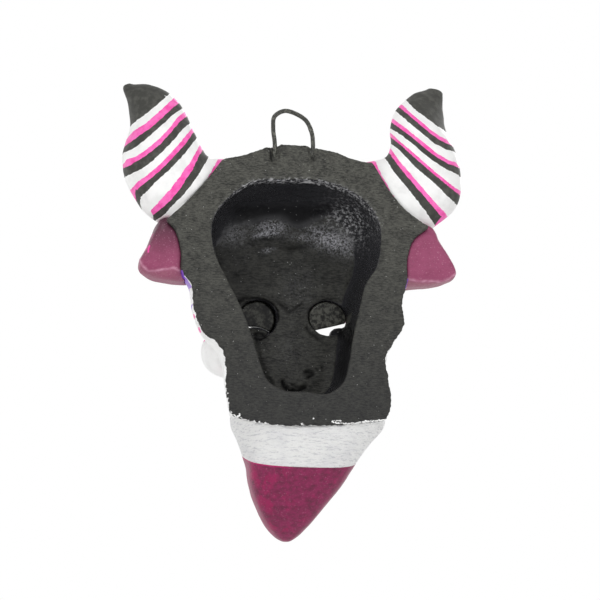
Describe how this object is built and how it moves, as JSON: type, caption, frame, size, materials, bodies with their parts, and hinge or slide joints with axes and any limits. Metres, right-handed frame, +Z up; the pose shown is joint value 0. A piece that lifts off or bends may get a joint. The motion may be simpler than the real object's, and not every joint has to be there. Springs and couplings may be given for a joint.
{
  "type": "wall mask",
  "caption": "Hollow hand-built ceramic devil mask with striped horns, ears, pointed beard and a wire loop for hanging on a wall.",
  "frame": {"origin": "on the flat back rim, in the wall plane, under the middle of the wire loop", "axes": "+Z up, +Y out of the back towards the wall, the face looks along -Y, +X is the devil's left side"},
  "size_m": [0.1722, 0.0636, 0.2336],
  "materials": {
    "back_black": "matte charcoal paint on fired clay, glossier inside the hollow",
    "horn_stripes": "white satin paint with black and pink stripes and a black tip",
    "plum": "plum satin paint",
    "chin_white": "white satin paint, brushed",
    "pink": "pink satin paint",
    "brow_black": "satin black paint",
    "tooth_white": "glossy ivory paint",
    "wire": "dark annealed steel wire"
  },
  "bodies": {
    "root": {"face_shell": "back_black", "horn_left": "horn_stripes", "horn_right": "horn_stripes", "ear_left": "plum", "ear_right": "plum", "upper_eyelid_left": "pink", "lower_eyelid_left": "pink", "brow_left": "brow_black", "upper_eyelid_right": "pink", "lower_eyelid_right": "pink", "brow_right": "brow_black", "nose": "plum", "cheek_left": "chin_white", "cheek_right": "chin_white", "upper_lip": "plum", "lower_lip": "plum", "teeth_upper": "tooth_white", "fang_left": "tooth_white", "fang_right": "tooth_white", "chin": "chin_white", "beard": "plum", "hanging_wire": "wire"}
  },
  "joints": []
}
